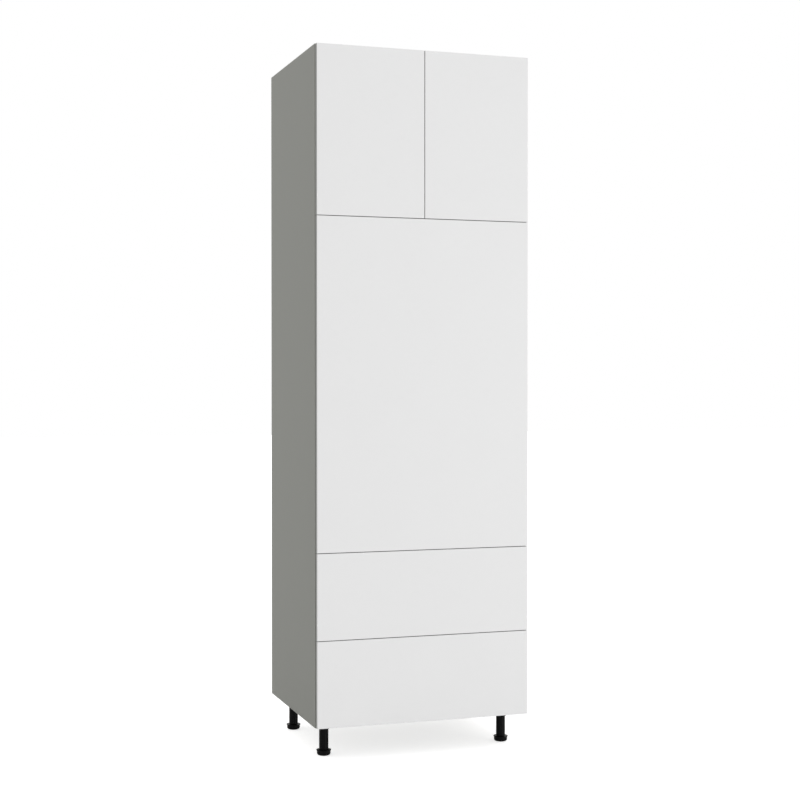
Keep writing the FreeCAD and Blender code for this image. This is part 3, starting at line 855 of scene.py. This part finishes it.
class Repeats:
    """Geometry Nodes trees that repeat a small shape, and their use on point meshes."""

    def __init__(self) -> None:
        """Builds both trees."""
        self.fasteners = self.fastener_tree()
        self.balls = self.ball_tree()

    @staticmethod
    def new_tree(name: str, inputs: dict[str, str]) -> Tree:
        """Makes an empty tree with named inputs and a geometry output.

        Args:
            name: The tree's name.
            inputs: Name of each input to its kind of socket.

        Returns:
            The tree.
        """
        tree = bpy.data.node_groups.new(name, "GeometryNodeTree")
        for title, kind in inputs.items():
            tree.interface.new_socket(title, in_out="INPUT", socket_type="NodeSocket" + kind)
        tree.interface.new_socket("Geometry", in_out="OUTPUT", socket_type="NodeSocketGeometry")
        return tree

    @staticmethod
    def close_tree(tree: Tree, copies: Socket, finishes: Sequence[tuple[Any, Socket]]) -> None:
        """Ends a tree in real geometry with its materials.

        Args:
            tree: The tree.
            copies: The instances.
            finishes: Which faces, as True or a socket, and their material; later ones hold.
        """
        last = add_node(tree, "GeometryNodeRealizeInstances", {"Geometry": copies})
        for faces, finish in finishes:
            last = add_node(tree, "GeometryNodeSetMaterial", {
                "Geometry": last.outputs[0], "Selection": faces, "Material": finish,
            })
        add_node(tree, "NodeGroupOutput", {0: last.outputs[0]})

    def fastener_tree(self) -> Tree:
        """Makes the tree that sets a fastener on each point, its head along the point's way.

        Returns:
            The tree.
        """
        tree = self.new_tree("set_fasteners", {
            "Geometry": "Geometry", "Fastener": "Object", "Finish": "Material",
        })
        given = add_node(tree, "NodeGroupInput").outputs
        way = add_node(tree, "GeometryNodeInputNamedAttribute", {"Name": "way"},
                       data_type="FLOAT_VECTOR")
        turn = add_node(tree, "FunctionNodeAlignRotationToVector",
                        {"Vector": way.outputs["Attribute"]}, axis="Z")
        source = add_node(tree, "GeometryNodeObjectInfo", {"Object": given["Fastener"]})
        copies = add_node(tree, "GeometryNodeInstanceOnPoints", {
            "Points": given["Geometry"], "Instance": source.outputs["Geometry"],
            "Rotation": turn.outputs["Rotation"],
        })
        self.close_tree(tree, copies.outputs["Instances"], [(True, given["Finish"])])
        return tree

    def ball_tree(self) -> Tree:
        """Makes the tree that sets a retainer strip with a row of balls on each point.

        Returns:
            The tree.
        """
        tree = self.new_tree("ball_rows", {
            "Geometry": "Geometry", "Strip Size": "Vector", "Ball Count": "Int",
            "Ball Radius": "Float", "First Ball": "Vector", "Ball Step": "Vector",
            "Finish": "Material", "Ball Finish": "Material",
        })
        given = add_node(tree, "NodeGroupInput").outputs
        line = add_node(tree, "GeometryNodeMeshLine", {
            "Count": given["Ball Count"], "Start Location": given["First Ball"],
            "Offset": given["Ball Step"],
        })
        ball = add_node(tree, "GeometryNodeMeshIcoSphere", {
            "Radius": given["Ball Radius"], "Subdivisions": 2,
        })
        round_ball = add_node(tree, "GeometryNodeSetShadeSmooth", {
            "Geometry": ball.outputs["Mesh"], "Shade Smooth": True,
        })
        row = add_node(tree, "GeometryNodeInstanceOnPoints", {
            "Points": line.outputs["Mesh"], "Instance": round_ball.outputs[0],
        })
        strip = add_node(tree, "GeometryNodeMeshCube", {"Size": given["Strip Size"]})
        whole = add_node(tree, "GeometryNodeJoinGeometry")
        for shape in (row, strip):
            tree.links.new(shape.outputs[0], whole.inputs[0])
        copies = add_node(tree, "GeometryNodeInstanceOnPoints", {
            "Points": given["Geometry"], "Instance": whole.outputs[0],
        })
        # A ball's faces have three corners and the strip's have four.
        faces = add_node(tree, "GeometryNodeInputMeshFaceNeighbors")
        is_ball = add_node(tree, "ShaderNodeMath", {
            0: faces.outputs["Vertex Count"], 1: 4.0,
        }, operation="LESS_THAN")
        self.close_tree(tree, copies.outputs[0], [
            (True, given["Finish"]), (is_ball.outputs[0], given["Ball Finish"]),
        ])
        return tree

    @staticmethod
    def grown(name: str, tree: Tree, points: Sequence[Vector], values: dict[str, Any],
              ways: Sequence[Vector] = ()) -> Piece:
        """Runs a tree on points and keeps the result as a plain mesh.

        Args:
            name: The piece's name.
            tree: The tree.
            points: Where the copies stand.
            values: Input name to value.
            ways: Direction of each copy, where the tree reads it.

        Returns:
            The finished piece, at the origin.
        """
        seeds = bpy.data.meshes.new(name + "_points")
        seeds.from_pydata(points, [], [])
        if ways:
            store = seeds.attributes.new("way", "FLOAT_VECTOR", "POINT")
            store.data.foreach_set("vector", [part for way in ways for part in way])
        piece = linked(name, seeds)
        grow = piece.modifiers.new("grow", "NODES")
        grow.node_group = tree
        for item in tree.interface.items_tree:
            if item.in_out == "INPUT" and item.name in values:
                grow[item.identifier] = values[item.name]
        bpy.context.view_layer.update()
        graph = bpy.context.evaluated_depsgraph_get()
        plain = bpy.data.meshes.new_from_object(
            piece.evaluated_get(graph), preserve_all_data_layers=True, depsgraph=graph
        )
        piece.modifiers.remove(grow)
        piece.data = plain
        bpy.data.meshes.remove(seeds)
        return piece


@dataclass
class SubAssembly:
    """Pieces that are dressed and detailed together.

    Attributes:
        book: The finishes.
        repeats: The trees that repeat small shapes.
    """

    book: FinishBook
    repeats: Repeats

    def build(self) -> list[Piece]:
        """Dresses the nodes and makes the fine pieces; each sub-assembly has its own."""
        raise NotImplementedError

    @staticmethod
    def dress(finish: Finish, *nodes: str) -> list[Piece]:
        """Gives nodes their finish.

        Args:
            finish: The finish.
            nodes: Their names.

        Returns:
            The nodes' objects.
        """
        pieces = [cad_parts[name] for name in nodes]
        for piece in pieces:
            piece.data.materials.clear()
            piece.data.materials.append(finish.material())
        return pieces

    @staticmethod
    def settle(piece: Piece, body: str, finish: Finish, *stands_for: str) -> Piece:
        """Attaches a fine piece to its body, and hides the nodes that it replaces.

        Args:
            piece: The piece.
            body: The body that it moves with.
            finish: Its finish; not used.
            stands_for: Nodes that it replaces.

        Returns:
            The same piece.
        """
        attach(piece, body)
        if stands_for:
            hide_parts(*stands_for)
        return piece

    def fasten(self, name: str, body: str, finish: Finish, alike: Sequence[Seated],
               *stands_for: str) -> Piece:
        """Makes one piece of fasteners that have the same shape.

        Args:
            name: The piece's name.
            body: The body that it moves with.
            finish: The fasteners' finish.
            alike: The fasteners in their places.
            stands_for: Nodes that the piece replaces.

        Returns:
            The piece.
        """
        mesh = alike[0].shape.mesh(name + "_model")
        model = linked(mesh.name, mesh)
        piece = self.repeats.grown(
            name, self.repeats.fasteners, [one.seat for one in alike],
            {"Fastener": model, "Finish": finish.material()}, [one.way for one in alike],
        )
        bpy.data.objects.remove(model)
        bpy.data.meshes.remove(mesh)
        return self.settle(piece, body, finish, *stands_for)

    def screws(self, node: str, body: str) -> list[Piece]:
        """Sets cross-recess screws in place of a node's plain ones, a piece for each length.

        Args:
            node: The node.
            body: The body that it moves with.

        Returns:
            The pieces.
        """
        steel = self.book.screw
        self.dress(steel, node)
        kinds: dict[int, list[Seated]] = {}
        for plain in islands(node):
            screw = Seated.read(plain)
            kinds.setdefault(round(screw.shape.length / MM), []).append(screw)
        return [self.fasten(f"{node}_{length}_mm", body, steel, alike, node)
                for length, alike in sorted(kinds.items())]


@dataclass
class Carcass(SubAssembly):
    """The fixed box: boards, backs, rails, the shelf on its pins and the slab in the middle."""

    def build(self) -> list[Piece]:
        """Dresses the boards and fittings, and details the screws.

        Returns:
            The pieces.
        """
        book = self.book
        return [
            *self.dress(book.side, "side_panel_left", "side_panel_right"),
            *self.dress(book.board, "bottom_panel", "top_panel", "oven_deck", "cupboard_floor"),
            *self.dress(book.shelf, "adjustable_shelf"),
            *self.dress(book.pin, "shelf_pins"),
            *self.dress(book.back, "back_panel_upper", "back_panel_lower"),
            *self.dress(book.rail, "rear_rail_top", "rear_rail_middle"),
            *self.dress(book.front, "front_panel"),
            *self.dress(book.bracket, "panel_brackets"),
            *self.screws("carcass_screws", "carcass"),
        ]


@dataclass
class Door(SubAssembly):
    """A slab door with its bumpers and the moving halves of its concealed hinges.

    Attributes:
        side: Which of the two doors.
    """

    side: Side

    def build(self) -> list[Piece]:
        """Dresses the door and its fittings, and details the cup screws.

        Returns:
            The pieces.
        """
        side = self.side.value
        return [
            *self.dress(self.book.front, "door_" + side),
            *self.dress(self.book.bumper, "door_bumpers_" + side),
            *self.dress(self.book.hinge, "hinge_cups_" + side, "hinge_links_" + side),
            *self.screws("hinge_cup_screws_" + side, "door_" + side),
        ]


@dataclass
class Drawer(SubAssembly):
    """A drawer: a slab front on a box of boards with a grooved bottom.

    Attributes:
        level: Which of the two drawers.
    """

    level: Level

    def build(self) -> list[Piece]:
        """Dresses the drawer and details its screws.

        Returns:
            The pieces.
        """
        level = self.level.value
        boards = [f"drawer_{place}_{level}"
                  for place in ("side_left", "side_right", "subfront", "back")]
        return [
            *self.dress(self.book.front, "drawer_front_" + level),
            *self.dress(self.book.drawer_board, *boards),
            *self.dress(self.book.drawer_bottom, "drawer_bottom_" + level),
            *self.screws("drawer_screws_" + level, "drawer_" + level),
        ]


@dataclass
class HingeMounts(SubAssembly):
    """Plates and arms of the concealed hinges, with adjusting screws on each arm's web.

    Attributes:
        screw: An adjusting screw.
        place_shares: Places along the arm, as shares of its length from the front.
    """

    screw: TurnedFastener = TurnedFastener(
        head_radius=2.9 * MM, head=0.7 * MM, shank_radius=2.32 * MM, length=1.0 * MM,
        recess=0.5 * MM,
    )
    place_shares: Pair = (0.5, 0.78)

    def adjusters(self) -> Piece:
        """Makes the adjusting screws on all arms.

        Returns:
            The piece.
        """
        screws = []
        for arm in islands("hinge_arms"):
            inwards = 1.0 if arm.centre.x < 0 else -1.0
            web = arm.high.x if inwards > 0 else arm.low.x
            for share in self.place_shares:
                seat = Vector((web, arm.low.y + arm.size.y * share, arm.centre.z))
                screws.append(Seated(seat, Vector((inwards, 0, 0)), self.screw))
        return self.fasten("hinge_adjusting_screws", "carcass", self.book.screw, screws)

    def build(self) -> list[Piece]:
        """Dresses the plates and arms, and adds the adjusting screws."""
        return [*self.dress(self.book.hinge, "hinge_plates", "hinge_arms"), self.adjusters()]


@dataclass
class Legs(SubAssembly):
    """Levelling legs with screw feet, and four chipboard screws up through each plate.

    Attributes:
        screw: A screw, which is modelled as far as the plate's upper face.
        corner_share: Its distance from the plate's middle, as a share of the plate's width.
    """

    screw: TurnedFastener = TurnedFastener(
        head_radius=3.6 * MM, head=1.6 * MM, shank_radius=1.8 * MM, length=4.0 * MM,
    )
    corner_share: float = 0.36

    def plate_screws(self) -> Piece:
        """Makes the screws under all four plates.

        Returns:
            The piece.
        """
        screws = []
        for plate in islands("leg_plates"):
            reach = plate.size.x * self.corner_share
            mid, under = plate.centre, plate.high.z - self.screw.length
            screws += [Seated(Vector((mid.x + x, mid.y + y, under)), DOWN, self.screw)
                       for x in (-reach, reach) for y in (-reach, reach)]
        return self.fasten("leg_plate_screws", "carcass", self.book.screw, screws)

    def build(self) -> list[Piece]:
        """Dresses the legs and adds the screws of their plates."""
        feet = [f"foot_{row}_{side.value}" for row in ("front", "rear") for side in Side]
        return [*self.dress(self.book.leg, "leg_plates", "leg_tubes", *feet), self.plate_screws()]


@dataclass
class KnockDownJoints(SubAssembly):
    """Cams, bolts and dowels between the boards; the cams get a rim and a cross recess.

    Attributes:
        recess: Depth of a cam's recess.
        rim_share: Height of the rim, as a share of the cam's height.
        body_share: Radius behind the rim, as a share of the rim's.
    """

    recess: float = 1.6 * MM
    rim_share: float = 0.2
    body_share: float = 0.96

    def cams(self) -> Piece:
        """Makes the cams that stand for the plain ones under the fixed boards.

        Returns:
            The piece.
        """
        plain = islands("cam_locks")
        radius, depth = plain[0].size.y / 2, plain[0].size.z
        rim = depth * self.rim_share
        shape = TurnedFastener(radius, rim, radius * self.body_share, depth - rim, self.recess)
        cams = [Seated(Vector((cam.centre.x, cam.centre.y, cam.low.z + rim)), DOWN, shape)
                for cam in plain]
        self.dress(self.book.cam, "cam_locks")
        return self.fasten("cam_locks_detailed", "carcass", self.book.cam, cams, "cam_locks")

    def build(self) -> list[Piece]:
        """Dresses the bolts and dowels, and details the cams."""
        fixed = [*self.dress(self.book.screw, "cam_bolts"), *self.dress(self.book.dowel, "dowels")]
        return [*fixed, self.cams()]


@dataclass
class Runners(SubAssembly):
    """Three-member drawer runners, with rows of balls in their retainer strips.

    Attributes:
        strip: Thickness of a retainer strip.
        pitch: Distance of the balls, before whole balls fill the row.
    """

    strip: float = 1.0 * MM
    pitch: float = 9.0 * MM

    def cages(self, node: str) -> Piece:
        """Makes the balls and strips that stand for one node of plain cages.

        Args:
            node: The node, which has the name of its body.

        Returns:
            The piece.
        """
        plastic = self.book.cage
        self.dress(plastic, node)
        rows = islands(node)
        size = rows[0].size
        count = round(size.y / self.pitch)
        step = size.y / count
        piece = self.repeats.grown(
            node + "_detailed", self.repeats.balls, [row.centre for row in rows],
            {"Strip Size": (size.x, size.y, self.strip), "Ball Count": count,
             "Ball Radius": size.z / 2, "First Ball": (0.0, (step - size.y) / 2, 0.0),
             "Ball Step": (0.0, step, 0.0), "Finish": plastic.material(),
             "Ball Finish": self.book.pin.material()},
        )
        return self.settle(piece, node, plastic, node)

    def build(self) -> list[Piece]:
        """Dresses the members and details the cages.

        Returns:
            The pieces.
        """
        moving = [f"runner_{member}_members_{level.value}"
                  for member in ("middle", "drawer") for level in Level]
        cages = [f"runner_{row}_cages_{level.value}"
                 for row in ("outer", "inner") for level in Level]
        return [
            *self.dress(self.book.runner, "runner_cabinet_members", *moving),
            *(self.cages(node) for node in cages),
        ]


@dataclass
class Studio:
    """White studio: a pale floor, an even dome and one far soft box at the front right.

    Attributes:
        lens: Focal length in millimetres on a 36 mm sensor, fitted to the photograph.
        place: The camera's place, from the same fit.
        yaw: Turn of the view from +Y towards +X, in degrees.
        pitch: Tilt of the view over the horizon, in degrees.
        backdrop: White of the surroundings, for the eye and in mirrors.
        dome: Light of the surroundings.
        key_power: Power of the soft box in watts.
        key_azimuth: Its way from the origin, from the front towards +X, in degrees.
        key_distance: Its distance from the origin.
        key_height: Height of its middle.
        key_size: Its width and height.
        floor_side: Side of the floor.
        floor_paint: Its colour.
        floor_glow: White that it adds for the eye alone, so that it shows as paper.
        mirrored_glow: White that it adds where metal and glass show it.
    """

    lens: float = 68.756
    place: tuple[float, float, float] = (-1.7293, -5.2196, 1.2769)
    yaw: float = 18.494
    pitch: float = -0.714
    backdrop: float = 1.0
    dome: float = 0.78
    key_power: float = 1220.0
    key_azimuth: float = 38.0
    key_distance: float = 22.0
    key_height: float = 0.9
    key_size: Pair = (2.8, 1.4)
    floor_side: float = 60.0
    floor_paint: str = "#F2F2F2"
    floor_glow: float = 0.68
    mirrored_glow: float = 0.24

    def camera(self) -> None:
        """Sets the camera where the photograph was taken."""
        data = bpy.data.cameras.new("photo_camera")
        data.lens = self.lens
        camera = linked("photo_camera", data)
        camera.location = self.place
        camera.rotation_euler = (UPRIGHT + math.radians(self.pitch), 0.0, -math.radians(self.yaw))
        bpy.context.scene.camera = camera

    @staticmethod
    def by_ray(tree: Tree, seen: float, mirrored: float, lighting: float) -> Socket:
        """A value that differs between the eye, mirrors or glass, and plain lighting.

        Args:
            tree: The tree.
            seen: Value for rays from the camera.
            mirrored: Value for mirror and glass rays.
            lighting: Value for all other rays.

        Returns:
            The value's socket.
        """
        path = add_node(tree, "ShaderNodeLightPath").outputs
        mirror = add_node(tree, "ShaderNodeMath", {
            0: path["Is Glossy Ray"], 1: path["Is Transmission Ray"],
        }, operation="MAXIMUM")
        unseen = add_node(tree, "ShaderNodeMapRange", {
            "Value": mirror.outputs[0], "To Min": lighting, "To Max": mirrored,
        })
        both = add_node(tree, "ShaderNodeMapRange", {
            "Value": path["Is Camera Ray"], "To Min": unseen.outputs["Result"], "To Max": seen,
        })
        return both.outputs["Result"]

    def world(self) -> None:
        """Makes the even dome that shows as plain white."""
        world = bpy.data.worlds.new("white_studio")
        world.use_nodes = True
        tree = world.node_tree
        tree.nodes.clear()
        glow = self.by_ray(tree, self.backdrop, self.backdrop, self.dome)
        light = add_node(tree, "ShaderNodeBackground", {"Color": WHITE, "Strength": glow})
        add_node(tree, "ShaderNodeOutputWorld", {"Surface": light.outputs[0]})
        bpy.context.scene.world = world

    def floor(self) -> None:
        """Makes the pale painted floor, which shows white and keeps the cabinet's shadow."""
        half = self.floor_side / 2
        mesh = bpy.data.meshes.new("studio_floor")
        corners = [(-half, -half, 0), (half, -half, 0), (half, half, 0), (-half, half, 0)]
        mesh.from_pydata(corners, [], [(0, 1, 2, 3)])
        paint = bpy.data.materials.new("pale_floor_paint")
        paint.use_nodes = True
        tree = paint.node_tree
        tree.nodes.clear()
        matt = add_node(tree, "ShaderNodeBsdfDiffuse", {"Color": linear(self.floor_paint)})
        strength = self.by_ray(tree, self.floor_glow, self.mirrored_glow, 0.0)
        glow = add_node(tree, "ShaderNodeEmission", {"Color": WHITE, "Strength": strength})
        both = add_node(tree, "ShaderNodeAddShader", {0: matt.outputs[0], 1: glow.outputs[0]})
        add_node(tree, "ShaderNodeOutputMaterial", {"Surface": both.outputs[0]})
        mesh.materials.append(paint)
        linked("studio_floor", mesh)

    def key(self) -> None:
        """Sets the far low soft box in front, to the cabinet's right."""
        data = bpy.data.lights.new("soft_box", "AREA")
        data.shape = "RECTANGLE"
        data.size, data.size_y = self.key_size
        data.energy = self.key_power
        light = linked("soft_box", data)
        turn = math.radians(self.key_azimuth)
        far = self.key_distance
        light.location = (far * math.sin(turn), -far * math.cos(turn), self.key_height)
        light.rotation_euler = (UPRIGHT, 0.0, turn)

    def build(self) -> None:
        """Sets up the whole studio."""
        self.world()
        self.floor()
        self.key()
        self.camera()
        bpy.context.scene.view_settings.view_transform = "Standard"


def main() -> None:
    """Builds the studio and each sub-assembly in order, and reports each piece."""
    logging.basicConfig(level=logging.INFO, format="%(message)s")
    Studio().build()
    LOG.info("studio ready")
    kit = FinishBook(), Repeats()
    parts = [
        Carcass(*kit),
        *(Door(*kit, side) for side in Side),
        *(Drawer(*kit, level) for level in Level),
        HingeMounts(*kit),
        Legs(*kit),
        KnockDownJoints(*kit),
        Runners(*kit),
    ]
    for part in parts:
        for piece in part.build():
            LOG.info("%s in %s", piece.name, type(part).__name__)


if __name__ == "__main__":
    main()
